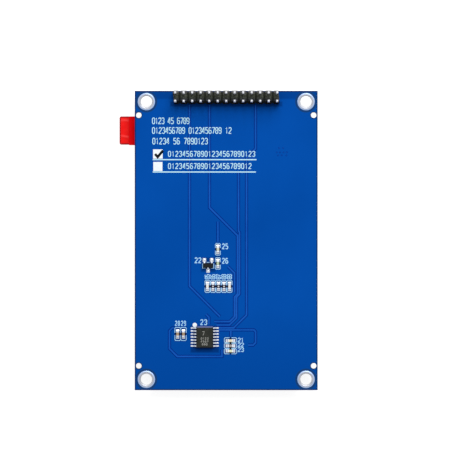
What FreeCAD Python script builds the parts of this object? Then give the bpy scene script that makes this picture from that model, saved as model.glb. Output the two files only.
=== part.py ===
import FreeCAD, Part
import math
import os

Vector = FreeCAD.Vector

# The module lies on its display. X runs across the board, Y along it towards the header, Z up
# through the component side. The origin is on the display face, below the board's centre.

# Circuit board
board_length = 90.0
board_side_margin = 2.5
board_thickness = 1.6
mount_hole_radius = 1.7
mount_plating_wall = 0.05
mount_pad_radius = 2.65
mount_inset_x = 3.5
mount_inset_y = 3.25
locating_hole_radius = 0.85
locating_inset_x = 1.2
locating_inset_y = 7.3

# Pin header
header_columns = 13
header_pitch = 2.54
header_setback = 0.02
header_side_margin = 0.73
header_end_margin = 0.8
header_height = 2.54
header_notch_depth = 0.42
header_notch_width = 0.9
header_groove_depth = 0.35
header_groove_width = 0.5
header_foot_height = 0.3
pin_side = 0.64
pin_free_length = 6.0
pin_tail_length = 1.4
pin_tip_length = 0.3
pin_tip_side = 0.34
pin_fit_clearance = 0.01
pin_solder_gap = 0.05
solder_ring_width = 0.35
solder_rise = 0.8
solder_sides = 8

# Touch controller package
controller_x = -6.45
controller_from_edge = 16.0
controller_width = 5.0
controller_height = 1.5
controller_standoff = 0.12
controller_draft = 0.26
controller_leads_per_side = 7
controller_lead_pitch = 0.9
controller_end_margin = 0.55
controller_lead_width = 0.42
controller_lead_span = 8.4
controller_lead_foot = 0.62

# Regulator package
regulator_x = -5.45
regulator_from_edge = 37.5
regulator_length = 3.0
regulator_width = 1.4
regulator_height = 1.0
regulator_standoff = 0.08
regulator_draft = 0.14
regulator_lead_pitch = 2.2
regulator_lead_width = 0.46
regulator_lead_span = 3.3
regulator_lead_foot = 0.42

# Formed leads and their roots
lead_thickness = 0.15
lead_bend_radius = 0.16
lead_shoulder = 0.3
lead_root_depth = 0.35

# Chip resistors and capacitors
chip_length = 1.6
chip_width = 0.8
resistor_height = 0.45
capacitor_height = 0.8
chip_end_length = 0.32
chip_end_step = 0.025
chip_end_chamfer = 0.05
solder_toe = 0.55
solder_pad_width = 0.95
solder_toe_height = 0.06
solder_climb = 0.7
solder_hollow = 0.3
pair_x = -2.5
resistor_upper_from_edge = 42.35
resistor_lower_from_edge = 38.1
bank_x = -2.32
bank_from_edge = 31.2
bank_count = 5
bank_gap = 0.71
capacitors_x = -13.72
capacitors_from_edge = 16.9
capacitors_gap = 0.8
stack_x = 1.28
stack_from_edge = 13.35
stack_count = 3
stack_gap = 0.6

# The layers of the display stack, from the face upwards
panel_corner_radius = 0.5
panel_header_gap = 2.33
reflector_inset = 0.3
film_thickness = 0.1
touch_film_thickness = 0.2
touch_spacer_thickness = 0.1
touch_glass_thickness = 0.8
adhesive_thickness = 0.3
frame_rim_height = 0.1
polariser_thickness = 0.2
cell_glass_thickness = 0.5
sheet_thickness = 0.1
light_guide_thickness = 0.6
reflector_thickness = 0.1
tape_thickness = 0.5

# Display cell and backlight in plan
active_width = 43.2
active_length = 57.6
cell_side_border = 2.2
cell_end_border = 2.225
active_border = 1.4
view_border = 1.0
frame_side_wall = 1.05
frame_top_wall = 1.15
frame_bottom_wall = 1.5
frame_step = 0.9
frame_lug_depth = 0.7
frame_lug_width = 2.0
frame_lug_spacing = 40.0
glass_clearance = 0.15
sheet_clearance = 0.12
cell_ledge = 4.2
driver_chip_length = 18.0
driver_chip_width = 1.1
driver_chip_thickness = 0.25
driver_chip_gap = 0.9
led_count = 4
led_width = 3.8
led_depth = 1.0
led_thickness = 0.5
led_window_depth = 0.15
led_window_wall = 0.12
led_strip_thickness = 0.1

# Flexible tails
display_tail_thickness = 0.15
display_tail_width = 36.0
display_tail_bond = 1.4
display_tail_return = 12.0
touch_tail_width = 7.0
touch_tail_inset = 3.0
touch_tail_insert = 3.5
touch_tail_return = 6.0
tail_side_clearance = 0.3
tail_gap = 3.0
tail_bend_offset = 0.05

# Fixing tapes between the panel and the board
tape_width = 4.0
tape_inset_x = 1.0
tape_end_gap = 2.0

# Protective film and its pull tab
film_tab_lap = 6.0
tab_reach = 7.25
tab_fold_length = 2.6
tab_width = 8.7
tab_fold_narrower = 0.35
tab_corner_radius = 0.55
tab_top_from_edge = 7.5

# Levels of the stack
film_top = film_thickness
touch_film_top = film_top + touch_film_thickness
touch_spacer_top = touch_film_top + touch_spacer_thickness
touch_glass_top = touch_spacer_top + touch_glass_thickness
adhesive_top = touch_glass_top + adhesive_thickness
front_polariser_base = adhesive_top + frame_rim_height
front_glass_base = front_polariser_base + polariser_thickness
rear_glass_base = front_glass_base + cell_glass_thickness
rear_glass_top = rear_glass_base + cell_glass_thickness
rear_polariser_top = rear_glass_top + polariser_thickness
light_guide_base = rear_polariser_top + 3 * sheet_thickness
light_guide_top = light_guide_base + light_guide_thickness
reflector_top = light_guide_top + reflector_thickness
board_front = reflector_top + tape_thickness
board_back = board_front + board_thickness

# Places in plan
glass_right = active_width / 2 + cell_side_border
pocket_right = glass_right + glass_clearance
panel_right = pocket_right + frame_side_wall
board_right = panel_right + board_side_margin
board_top = board_length / 2
header_outer_row_y = board_top - header_setback - header_side_margin
header_inner_row_y = header_outer_row_y - header_pitch
pin_half_diagonal = pin_side * math.sqrt(2) / 2
header_hole_radius = pin_half_diagonal + pin_solder_gap
header_pad_radius = header_hole_radius + solder_ring_width
panel_top = header_inner_row_y - header_pad_radius - panel_header_gap
pocket_top = panel_top - frame_top_wall
glass_top = pocket_top - glass_clearance
active_centre_y = glass_top - cell_end_border - active_length / 2
front_glass_bottom = active_centre_y - active_length / 2 - cell_end_border
glass_bottom = front_glass_bottom - cell_ledge
pocket_bottom = glass_bottom - glass_clearance
panel_bottom = pocket_bottom - frame_bottom_wall
well_right = pocket_right - frame_step
well_top = pocket_top - frame_step
led_row_bottom = pocket_bottom + sheet_clearance
led_row_top = led_row_bottom + led_depth
light_guide_bottom = led_row_top + sheet_clearance
led_pitch = active_width / led_count
fold_y = panel_bottom - tail_bend_offset
touch_tail_right = panel_right - touch_tail_inset
touch_tail_left = touch_tail_right - touch_tail_width
touch_tail_x = (touch_tail_left + touch_tail_right) / 2
display_neck_right = touch_tail_left - tail_gap


def slab(x0, x1, y0, y1, z0, z1):
    """A rectangular block between two opposite corners."""
    return Part.makeBox(x1 - x0, y1 - y0, z1 - z0, Vector(x0, y0, z0))


def rounded_slab(x0, x1, y0, y1, z0, z1, radius):
    """A flat plate whose four upright corners are rounded."""
    plate = slab(x0, x1, y0, y1, z0, z1)
    upright = [edge for edge in plate.Edges if abs(edge.tangentAt(edge.FirstParameter).z) > 0.9]
    return plate.makeFillet(radius, upright)


def centred_slab(width, length, centre_x, centre_y, z0, z1):
    """A rectangular block given by its plan size and centre."""
    return slab(centre_x - width / 2, centre_x + width / 2,
                centre_y - length / 2, centre_y + length / 2, z0, z1)


def rectangle(width, length, z):
    """The corners of a rectangle centred on the Z axis."""
    x, y = width / 2, length / 2
    return [Vector(-x, -y, z), Vector(x, -y, z), Vector(x, y, z), Vector(-x, y, z)]


def polygon(radius, sides, z):
    """The corners of a regular polygon centred on the Z axis."""
    turns = [2 * math.pi * corner / sides for corner in range(sides)]
    return [Vector(radius * math.cos(turn), radius * math.sin(turn), z) for turn in turns]


def flat_face(corners):
    """A flat face through the given corners."""
    return Part.Face(Part.makePolygon(corners + corners[:1]))


def stacked(sections):
    """A solid of flat faces through a stack of outlines, each with as many corners."""
    faces = [flat_face(sections[0]), flat_face(sections[-1])]
    for lower, upper in zip(sections, sections[1:]):
        for near in range(len(lower)):
            far = (near + 1) % len(lower)
            faces.append(flat_face([lower[near], lower[far], upper[far], upper[near]]))
    solid = Part.Solid(Part.Shell(faces))
    solid.fix(1e-6, 1e-6, 1e-6)
    return solid


def bend(before, corner, after, radius):
    """Tangent points, centre and turn sense of an arc that rounds a corner."""
    arrive = (corner - before).normalize()
    leave = (after - corner).normalize()
    turn = arrive.x * leave.z - arrive.z * leave.x
    angle = arrive.getAngle(leave)
    reach = radius * math.tan(angle / 2)
    sense = 1.0 if turn > 0 else -1.0
    start = corner - arrive * reach
    finish = corner + leave * reach
    centre = start + Vector(-arrive.z, 0, arrive.x) * (sense * radius)
    return start, finish, centre, sense


def strip_side(points, radius, offset):
    """One long side of a bent strip, at a distance to the left of its centre line."""
    edges = []
    heading = (points[1] - points[0]).normalize()
    here = points[0] + Vector(-heading.z, 0, heading.x) * offset
    for before, corner, after in zip(points, points[1:], points[2:]):
        start, finish, centre, sense = bend(before, corner, after, radius)
        arc_radius = radius - sense * offset
        arc_start = centre + (start - centre).normalize() * arc_radius
        arc_finish = centre + (finish - centre).normalize() * arc_radius
        arc_middle = centre + (corner - centre).normalize() * arc_radius
        edges.append(Part.LineSegment(here, arc_start).toShape())
        edges.append(Part.Arc(arc_start, arc_middle, arc_finish).toShape())
        here = arc_finish
    heading = (points[-1] - points[-2]).normalize()
    end = points[-1] + Vector(-heading.z, 0, heading.x) * offset
    edges.append(Part.LineSegment(here, end).toShape())
    return edges


def bent_strip(points, radius, thickness, width):
    """A strip that follows points in the XZ plane, its bends rounded, centred across Y."""
    left = strip_side(points, radius, thickness / 2)
    right = strip_side(points, radius, -thickness / 2)
    caps = []
    for near, far in ((left[0].Vertexes[0], right[0].Vertexes[0]),
                      (left[-1].Vertexes[-1], right[-1].Vertexes[-1])):
        caps.append(Part.LineSegment(near.Point, far.Point).toShape())
    outline = Part.Wire(Part.sortEdges(left + caps + right)[0])
    strip = Part.Face(outline).extrude(Vector(0, width, 0))
    strip.translate(Vector(0, -width / 2, 0))
    return strip


def save(name, shape):
    """Write one named piece of the assembly."""
    shape.exportStep("parts/" + name + ".step")


def header_columns_x():
    """The X place of each column of pins, the row centred on the board."""
    first = -(header_columns - 1) * header_pitch / 2
    return [first + column * header_pitch for column in range(header_columns)]


def mount_centres():
    """The centres of the four mounting holes."""
    x = board_right - mount_inset_x
    y = board_top - mount_inset_y
    return [(-x, y), (x, y), (-x, -y), (x, -y)]


def locating_centres():
    """The centres of the four small bare holes near the long edges."""
    x = board_right - locating_inset_x
    y = board_top - locating_inset_y
    return [(-x, y), (x, y), (-x, -y), (x, -y)]


def circuit_board():
    """The plain glass-fibre board with its mounting, locating and header holes."""
    plate = slab(-board_right, board_right, -board_top, board_top, board_front, board_back)
    drills = []
    for x, y in mount_centres():
        drills.append(Part.makeCylinder(mount_hole_radius + mount_plating_wall, board_thickness,
                                        Vector(x, y, board_front)))
    for x, y in locating_centres():
        drills.append(Part.makeCylinder(locating_hole_radius, board_thickness, Vector(x, y, board_front)))
    pin_hole = stacked([polygon(header_hole_radius, solder_sides, board_front),
                        polygon(header_hole_radius, solder_sides, board_back)])
    for x in header_columns_x():
        for y in (header_outer_row_y, header_inner_row_y):
            drills.append(pin_hole.translated(Vector(x, y, 0)))
    return plate.cut(Part.makeCompound(drills))


def hole_platings():
    """The copper barrels of the mounting holes, each with a round pad on both faces of the board."""
    lip = mount_plating_wall
    barrel_radius = mount_hole_radius + lip
    section = [
        (mount_hole_radius, board_front - lip),
        (mount_pad_radius, board_front - lip),
        (mount_pad_radius, board_front),
        (barrel_radius, board_front),
        (barrel_radius, board_back),
        (mount_pad_radius, board_back),
        (mount_pad_radius, board_back + lip),
        (mount_hole_radius, board_back + lip),
    ]
    face = flat_face([Vector(radius, 0, z) for radius, z in section])
    plating = face.revolve(Vector(0, 0, 0), Vector(0, 0, 1), 360)
    return Part.makeCompound([plating.translated(Vector(x, y, 0)) for x, y in mount_centres()])


def header_outline():
    """The header's plan: one unit per column, a V notch in both long sides between units."""
    half_length = (header_columns - 1) * header_pitch / 2 + header_end_margin
    half_width = header_pitch / 2 + header_side_margin
    corner = header_notch_depth
    notches = [x + header_pitch / 2 for x in header_columns_x()[:-1]]
    near_side = [Vector(-half_length + corner, -half_width, 0)]
    for x in notches:
        near_side.append(Vector(x - header_notch_width / 2, -half_width, 0))
        near_side.append(Vector(x, -half_width + header_notch_depth, 0))
        near_side.append(Vector(x + header_notch_width / 2, -half_width, 0))
    near_side.append(Vector(half_length - corner, -half_width, 0))
    near_side.append(Vector(half_length, -half_width + corner, 0))
    far_side = [Vector(-point.x, -point.y, 0) for point in near_side]
    return Part.makePolygon(near_side + far_side + near_side[:1])


def header_housing():
    """The moulded header body: notched units, a groove over each notch and a raised underside."""
    centre_y = (header_outer_row_y + header_inner_row_y) / 2
    body = Part.Face(header_outline()).extrude(Vector(0, 0, header_height))
    body.translate(Vector(0, centre_y, board_back))
    depth = header_pitch + 2 * header_side_margin
    cutters = []
    for x in header_columns_x():
        for y in (header_outer_row_y, header_inner_row_y):
            side = pin_side + 2 * pin_fit_clearance
            cutters.append(centred_slab(side, side, x, y, board_back, board_back + header_height))
    for x in header_columns_x()[:-1]:
        groove_x = x + header_pitch / 2
        top = board_back + header_height
        cutters.append(centred_slab(header_groove_width, depth, groove_x, centre_y,
                                    top - header_groove_depth, top))
        cutters.append(centred_slab(header_groove_width, depth, groove_x, centre_y,
                                    board_back, board_back + header_foot_height))
    return body.cut(Part.makeCompound(cutters))


def header_pin(x, y):
    """One square pin, tapered at both ends, from its soldered tail to its free end."""
    low = board_front - pin_tail_length
    high = board_back + header_height + pin_free_length
    sections = [
        rectangle(pin_tip_side, pin_tip_side, low),
        rectangle(pin_side, pin_side, low + pin_tip_length),
        rectangle(pin_side, pin_side, high - pin_tip_length),
        rectangle(pin_tip_side, pin_tip_side, high),
    ]
    return stacked(sections).translated(Vector(x, y, 0))


def header_pin_row(y):
    """One row of the header's pins."""
    return Part.makeCompound([header_pin(x, y) for x in header_columns_x()])


def header_solder():
    """The solder round every pin: a filled hole with a cone on the tail side."""
    tip = board_front - solder_rise
    joint = stacked([
        polygon(header_hole_radius, solder_sides, tip),
        polygon(header_pad_radius, solder_sides, board_front),
        polygon(header_hole_radius, solder_sides, board_front),
        polygon(header_hole_radius, solder_sides, board_back),
    ]).cut(centred_slab(pin_side, pin_side, 0, 0, tip, board_back))
    joints = []
    for x in header_columns_x():
        for y in (header_outer_row_y, header_inner_row_y):
            joints.append(joint.translated(Vector(x, y, 0)))
    return Part.makeCompound(joints)


def package_body(width, length, height, standoff, draft, parting):
    """A moulded package whose walls draw in above and below its parting line."""
    return stacked([
        rectangle(width - draft, length - draft, standoff),
        rectangle(width, length, parting),
        rectangle(width - 2 * draft, length - 2 * draft, height),
    ])


def formed_lead(body_half_width, half_span, parting, foot, width):
    """A gull-wing lead that leaves the body towards +X and lies flat on the board."""
    rest = lead_thickness / 2
    knee = body_half_width + lead_shoulder
    heel = half_span - foot
    points = [
        Vector(body_half_width - lead_root_depth, 0, parting),
        Vector(knee, 0, parting),
        Vector(heel, 0, rest),
        Vector(half_span, 0, rest),
    ]
    return bent_strip(points, lead_bend_radius, lead_thickness, width)


def set_down(shape, angle, x, from_edge):
    """A copy turned about Z and set down on the component side, at a distance from the lower edge."""
    copy = shape.copy()
    copy.rotate(Vector(0, 0, 0), Vector(0, 0, 1), angle)
    copy.translate(Vector(x, from_edge - board_top, board_back))
    return copy


def touch_controller():
    """The touch controller: its moulded body and its two rows of leads."""
    length = (controller_leads_per_side - 1) * controller_lead_pitch + 2 * controller_end_margin
    parting = (controller_standoff + controller_height) / 2
    lead = formed_lead(controller_width / 2, controller_lead_span / 2, parting,
                       controller_lead_foot, controller_lead_width)
    leads = []
    for place in range(controller_leads_per_side):
        along = (place - (controller_leads_per_side - 1) / 2) * controller_lead_pitch
        leads.append(set_down(lead, 0, controller_x, controller_from_edge + along))
        leads.append(set_down(lead, 180, controller_x, controller_from_edge + along))
    row = Part.makeCompound(leads)
    body = package_body(controller_width, length, controller_height,
                        controller_standoff, controller_draft, parting)
    return set_down(body, 0, controller_x, controller_from_edge).cut(row), row


def regulator():
    """The three-lead regulator: two leads above its body and one below."""
    parting = (regulator_standoff + regulator_height) / 2
    lead = formed_lead(regulator_width / 2, regulator_lead_span / 2, parting,
                       regulator_lead_foot, regulator_lead_width)
    leads = [
        set_down(lead, 90, regulator_x - regulator_lead_pitch / 2, regulator_from_edge),
        set_down(lead, 90, regulator_x + regulator_lead_pitch / 2, regulator_from_edge),
        set_down(lead, 270, regulator_x, regulator_from_edge),
    ]
    row = Part.makeCompound(leads)
    body = package_body(regulator_length, regulator_width, regulator_height,
                        regulator_standoff, regulator_draft, parting)
    return set_down(body, 0, regulator_x, regulator_from_edge).cut(row), row


def chip(height):
    """A ceramic chip along X, its metal ends a little proud and chamfered."""
    half = chip_length / 2
    inner = half - chip_end_length
    core = slab(-inner, inner, -chip_width / 2 + chip_end_step, chip_width / 2 - chip_end_step,
                chip_end_step, height - chip_end_step)
    ends = []
    for side in (-1, 1):
        end = slab(min(side * inner, side * half), max(side * inner, side * half),
                   -chip_width / 2, chip_width / 2, 0, height)
        rim = [edge for edge in end.Edges if abs(abs(edge.CenterOfMass.x) - half) < 1e-6]
        ends.append(end.makeChamfer(chip_end_chamfer, rim))
    return core.fuse(ends).removeSplitter()


def chip_fillet(height):
    """The solder at a chip's +X end: a toe on the board and a hollow climb up the metal end."""
    wall = chip_length / 2
    top = height * solder_climb
    toe = wall + solder_toe
    hollow = solder_toe_height + (top - solder_toe_height) * solder_hollow
    side = -solder_pad_width / 2
    profile = flat_face([
        Vector(wall, side, 0),
        Vector(wall, side, top),
        Vector(wall + solder_toe * solder_hollow, side, hollow),
        Vector(toe, side, solder_toe_height),
        Vector(toe, side, 0),
    ])
    return profile.extrude(Vector(0, solder_pad_width, 0))


def chip_places():
    """Each chip's name, X place, distance from the lower edge, turn in degrees and height."""
    places = {
        "resistor_upper": (pair_x, resistor_upper_from_edge, 90, resistor_height),
        "resistor_lower": (pair_x, resistor_lower_from_edge, 90, resistor_height),
    }
    bank_pitch = solder_pad_width + bank_gap
    for number in range(bank_count):
        x = bank_x + (number - (bank_count - 1) / 2) * bank_pitch
        places["bank_chip_%d" % (number + 1)] = (x, bank_from_edge, 90, resistor_height)
    capacitors_pitch = solder_pad_width + capacitors_gap
    for name, side in (("left", -1), ("right", 1)):
        x = capacitors_x + side * capacitors_pitch / 2
        places["capacitor_" + name] = (x, capacitors_from_edge, 90, capacitor_height)
    stack_pitch = solder_pad_width + stack_gap
    for number in range(stack_count):
        from_edge = stack_from_edge - (number - (stack_count - 1) / 2) * stack_pitch
        places["stack_resistor_%d" % (number + 1)] = (stack_x, from_edge, 0, resistor_height)
    return places


def chip_solder():
    """The two solder fillets of every chip."""
    fillets = []
    for x, from_edge, angle, height in chip_places().values():
        fillet = chip_fillet(height)
        fillets.append(set_down(fillet, angle, x, from_edge))
        fillets.append(set_down(fillet, angle + 180, x, from_edge))
    return Part.makeCompound(fillets)


def tab_top():
    """The upper side of the pull tab, seen from behind."""
    return board_top - tab_top_from_edge


def protective_film():
    """The clear film over the display face, thinned where the tab laps under it."""
    film = rounded_slab(-panel_right, panel_right, panel_bottom, panel_top, 0, film_top,
                        panel_corner_radius)
    lap = slab(-panel_right, -panel_right + film_tab_lap, tab_top() - tab_width, tab_top(),
               0, film_thickness / 2)
    return film.cut(lap)


def pull_tab():
    """The tab: a tongue lapped into the film, a free strip, and its end folded back on itself."""
    bottom = tab_top() - tab_width
    outer = -panel_right - tab_reach
    fold = outer + tab_fold_length
    tongue = slab(-panel_right, -panel_right + film_tab_lap, bottom, tab_top(), 0, film_thickness / 2)
    strip = slab(fold, -panel_right, bottom, tab_top(), 0, film_top)
    end = slab(outer, fold, bottom + tab_fold_narrower, tab_top(), 0, 2 * film_top)
    corners = [edge for edge in end.Edges
               if abs(edge.CenterOfMass.x - outer) < 1e-6 and edge.BoundBox.ZLength > film_top]
    return tongue.fuse([strip, end.makeFillet(tab_corner_radius, corners)]).removeSplitter()


def view_opening(z0, z1, border):
    """The window over the active area, wider than it by a border."""
    return centred_slab(active_width + 2 * border, active_length + 2 * border,
                        0, active_centre_y, z0, z1)


def touch_tail_slot(z0, z1):
    """The space that the touch tail takes where it enters the panel's lower end."""
    width = touch_tail_width + 2 * tail_side_clearance
    return slab(touch_tail_x - width / 2, touch_tail_x + width / 2,
                panel_bottom, panel_bottom + touch_tail_insert + tail_side_clearance, z0, z1)


def panel_layer(z0, z1, inset):
    """A square-cornered layer of the display stack, smaller all round than its outline by an inset."""
    return slab(-panel_right + inset, panel_right - inset, panel_bottom + inset, panel_top - inset, z0, z1)


def touch_spacer():
    """The adhesive border between the touch film and its glass, open for the tail."""
    border = panel_layer(touch_film_top, touch_spacer_top, 0)
    window = view_opening(touch_film_top, touch_spacer_top, view_border)
    return border.cut(window).cut(touch_tail_slot(touch_film_top, touch_spacer_top))


def folded_tail(start_y, start_z, return_z, return_length, thickness, width, x):
    """A flexible tail that leaves the panel, turns back past its lower end and meets the board."""
    radius = (return_z - start_z) / 2
    points = [
        Vector(start_y, 0, start_z),
        Vector(fold_y - radius, 0, start_z),
        Vector(fold_y - radius, 0, return_z),
        Vector(fold_y + return_length, 0, return_z),
    ]
    tail = bent_strip(points, radius * 0.999, thickness, width)
    tail.rotate(Vector(0, 0, 0), Vector(0, 0, 1), 90)
    tail.translate(Vector(x, 0, 0))
    return tail


def touch_tail():
    """The touch panel's narrow tail, held in its spacer layer and soldered to the board."""
    thickness = touch_spacer_thickness
    return folded_tail(panel_bottom + touch_tail_insert, touch_film_top + thickness / 2,
                       board_front - thickness / 2, touch_tail_return, thickness,
                       touch_tail_width, touch_tail_x)


def display_tail():
    """The display's wide tail, bonded to the rear glass ledge, with a narrower neck."""
    thickness = display_tail_thickness
    tail = folded_tail(glass_bottom + display_tail_bond, rear_glass_base - thickness / 2,
                       board_front - thickness / 2, display_tail_return, thickness,
                       display_tail_width, 0)
    shoulder = panel_bottom
    trims = []
    for side in (-1, 1):
        inner = side * display_neck_right
        outer = side * display_tail_width
        trims.append(slab(min(inner, outer), max(inner, outer), fold_y - 2 * board_front, shoulder,
                          0, board_back))
        trims.append(slab(min(inner, outer), max(inner, outer), shoulder, panel_top,
                          reflector_top, board_back))
    return tail.cut(Part.makeCompound(trims))


def panel_adhesive():
    """The foam border that fixes the touch panel to the display frame."""
    border = panel_layer(touch_glass_top, adhesive_top, 0)
    return border.cut(view_opening(touch_glass_top, adhesive_top, view_border))


def lug_places():
    """The centres, along Y, of the light guide's two side lugs."""
    middle = (well_top + light_guide_bottom) / 2
    return [middle - frame_lug_spacing / 2, middle + frame_lug_spacing / 2]


def guide_outline(clearance, z0, z1, bottom):
    """The light guide's plate and its side lugs, smaller than the frame's well by a clearance."""
    right = well_right - clearance
    plate = slab(-right, right, bottom, well_top - clearance, z0, z1)
    lugs = []
    for y in lug_places():
        lugs.append(centred_slab(2 * (right + frame_lug_depth), frame_lug_width - 2 * clearance,
                                 0, y, z0, z1))
    return plate.fuse(lugs).removeSplitter()


def backlight_frame():
    """The moulded frame: a pocket for the glass, a stepped well behind it and a slot for the tail."""
    body = rounded_slab(-panel_right, panel_right, panel_bottom, panel_top,
                        adhesive_top, light_guide_top, panel_corner_radius)
    pocket = slab(-pocket_right, pocket_right, pocket_bottom, pocket_top, adhesive_top, rear_glass_top)
    well = guide_outline(0, rear_glass_top, light_guide_top, pocket_bottom)
    tail_slot = centred_slab(display_tail_width + 2 * tail_side_clearance, frame_bottom_wall,
                             0, panel_bottom + frame_bottom_wall / 2, adhesive_top, rear_glass_base)
    return body.cut(Part.makeCompound([pocket, well, tail_slot]))


def polariser(z0):
    """A polarising sheet, larger than the active area by its border."""
    return view_opening(z0, z0 + polariser_thickness, active_border)


def optical_sheet(place):
    """One of the loose sheets between the rear polariser and the light guide."""
    base = rear_polariser_top + place * sheet_thickness
    right = well_right - sheet_clearance
    return slab(-right, right, light_guide_bottom, well_top - sheet_clearance,
                base, base + sheet_thickness)


def backlight_led(number):
    """A side-firing lamp with a shallow window towards the light guide."""
    x = (number - (led_count - 1) / 2) * led_pitch
    top = light_guide_top - led_strip_thickness
    base = top - led_thickness
    housing = slab(x - led_width / 2, x + led_width / 2, led_row_bottom, led_row_top, base, top)
    window = slab(x - led_width / 2 + led_window_wall, x + led_width / 2 - led_window_wall,
                  led_row_top - led_window_depth, led_row_top, base + led_window_wall, top - led_window_wall)
    return housing.cut(window)


def led_strip():
    """The narrow flexible strip that carries the lamps along the light guide's lower end."""
    length = (led_count - 1) * led_pitch + 2 * led_width
    return slab(-length / 2, length / 2, led_row_bottom, led_row_top,
                light_guide_top - led_strip_thickness, light_guide_top)


def driver_chip():
    """The long bare driver chip on the rear glass ledge."""
    top = front_glass_bottom - driver_chip_gap
    return slab(-driver_chip_length / 2, driver_chip_length / 2, top - driver_chip_width, top,
                rear_glass_base - driver_chip_thickness, rear_glass_base)


def foam_tape(side):
    """A strip of double-sided tape between the panel's back and the board."""
    outer = side * (panel_right - tape_inset_x)
    inner = outer - side * tape_width
    bottom = panel_bottom + touch_tail_return + tape_end_gap
    return slab(min(outer, inner), max(outer, inner), bottom, panel_top - tape_end_gap,
                reflector_top, board_front)


def save_board():
    """The board, its plated holes and everything soldered to it."""
    save("circuit_board", circuit_board())
    save("hole_platings", hole_platings())
    save("header_housing", header_housing())
    save("header_pins_outer", header_pin_row(header_outer_row_y))
    save("header_pins_inner", header_pin_row(header_inner_row_y))
    save("header_solder", header_solder())
    controller_body, controller_leads = touch_controller()
    save("touch_controller_body", controller_body)
    save("touch_controller_leads", controller_leads)
    regulator_body, regulator_leads = regulator()
    save("regulator_body", regulator_body)
    save("regulator_leads", regulator_leads)
    for name, (x, from_edge, angle, height) in chip_places().items():
        save(name, set_down(chip(height), angle, x, from_edge))
    save("chip_solder", chip_solder())


def save_touch_panel():
    """The film, its tab and the resistive touch panel."""
    save("protective_film", protective_film())
    save("pull_tab", pull_tab())
    save("touch_film", panel_layer(film_top, touch_film_top, 0))
    save("touch_spacer", touch_spacer())
    save("touch_glass", panel_layer(touch_spacer_top, touch_glass_top, 0))
    save("touch_tail", touch_tail())
    save("panel_adhesive", panel_adhesive())


def save_display():
    """The display cell, its backlight, its tail and the tapes that hold it to the board."""
    save("front_polariser", polariser(front_polariser_base))
    save("front_glass", slab(-glass_right, glass_right, front_glass_bottom, glass_top,
                             front_glass_base, rear_glass_base))
    save("rear_glass", slab(-glass_right, glass_right, glass_bottom, glass_top,
                            rear_glass_base, rear_glass_top))
    save("driver_chip", driver_chip())
    save("rear_polariser", polariser(rear_glass_top))
    for place, name in enumerate(("prism_sheet_front", "prism_sheet_rear", "diffuser_sheet")):
        save(name, optical_sheet(place))
    save("light_guide", guide_outline(sheet_clearance, light_guide_base, light_guide_top, light_guide_bottom))
    save("reflector_sheet", panel_layer(light_guide_top, reflector_top, reflector_inset))
    save("backlight_frame", backlight_frame())
    save("led_strip", led_strip())
    for number in range(led_count):
        save("backlight_led_%d" % (number + 1), backlight_led(number))
    save("display_tail", display_tail())
    save("foam_tape_left", foam_tape(-1))
    save("foam_tape_right", foam_tape(1))


os.makedirs("parts", exist_ok=True)
save_board()
save_touch_panel()
save_display()
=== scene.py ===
import bpy
import numpy as np
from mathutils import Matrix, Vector


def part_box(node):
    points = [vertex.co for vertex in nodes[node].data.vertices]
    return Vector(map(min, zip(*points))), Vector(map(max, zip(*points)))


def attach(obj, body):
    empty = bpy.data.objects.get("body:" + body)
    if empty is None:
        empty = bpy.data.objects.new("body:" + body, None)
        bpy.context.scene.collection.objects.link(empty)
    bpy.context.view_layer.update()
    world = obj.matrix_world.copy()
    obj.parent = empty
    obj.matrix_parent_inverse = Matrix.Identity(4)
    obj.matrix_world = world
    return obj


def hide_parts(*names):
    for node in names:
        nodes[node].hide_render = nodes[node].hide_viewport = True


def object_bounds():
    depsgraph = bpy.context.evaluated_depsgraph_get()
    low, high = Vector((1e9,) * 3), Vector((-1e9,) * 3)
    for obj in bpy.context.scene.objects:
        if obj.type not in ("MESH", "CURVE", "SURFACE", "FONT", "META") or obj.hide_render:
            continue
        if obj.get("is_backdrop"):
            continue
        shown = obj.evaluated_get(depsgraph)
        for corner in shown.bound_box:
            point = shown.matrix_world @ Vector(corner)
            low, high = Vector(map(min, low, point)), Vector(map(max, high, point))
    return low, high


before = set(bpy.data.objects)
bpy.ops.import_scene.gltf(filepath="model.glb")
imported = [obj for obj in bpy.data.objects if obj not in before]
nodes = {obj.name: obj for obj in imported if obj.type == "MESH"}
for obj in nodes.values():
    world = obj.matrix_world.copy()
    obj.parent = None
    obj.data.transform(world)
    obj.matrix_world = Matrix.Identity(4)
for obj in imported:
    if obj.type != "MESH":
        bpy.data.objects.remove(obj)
cad_low, cad_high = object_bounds()
board_low, board_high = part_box("circuit_board")
mm = 0.001


# The view. The camera looks straight down on the component side from far off, so the tall pins only
# lean outwards a little. The frame is square, and its width is measured on the board's surface.
view_width = 137.7 * mm
view_centre = (0.84 * mm, 3.46 * mm)
camera_height = 1100 * mm

camera_data = bpy.data.cameras.new("camera")
camera_data.lens = camera_data.sensor_width * camera_height / view_width
camera = bpy.data.objects.new("camera", camera_data)
camera.location = (*view_centre, board_high.z + camera_height)
bpy.context.scene.collection.objects.link(camera)
bpy.context.scene.camera = camera
bpy.context.scene.view_settings.view_transform = "Standard"


# The light. One large soft lamp stands up and to the right of the header and a white sky fills the
# rest, together at the level at which a surface renders about as bright as its colour is written.
sky_strength = 0.42
lamp_energy = 8.1
lamp_size = 0.6
lamp_place = Vector((0.16, 0.58, 0.85))


def node(tree, kind, **settings):
    """A new shader node of a kind, with its own settings."""
    made = tree.nodes.new("ShaderNode" + kind)
    for name, value in settings.items():
        setattr(made, name, value)
    return made


def plug(tree, value, socket):
    """Puts a constant on a socket, or links another node's output to it."""
    if isinstance(value, bpy.types.NodeSocket):
        tree.links.new(value, socket)
    else:
        socket.default_value = value


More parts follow.
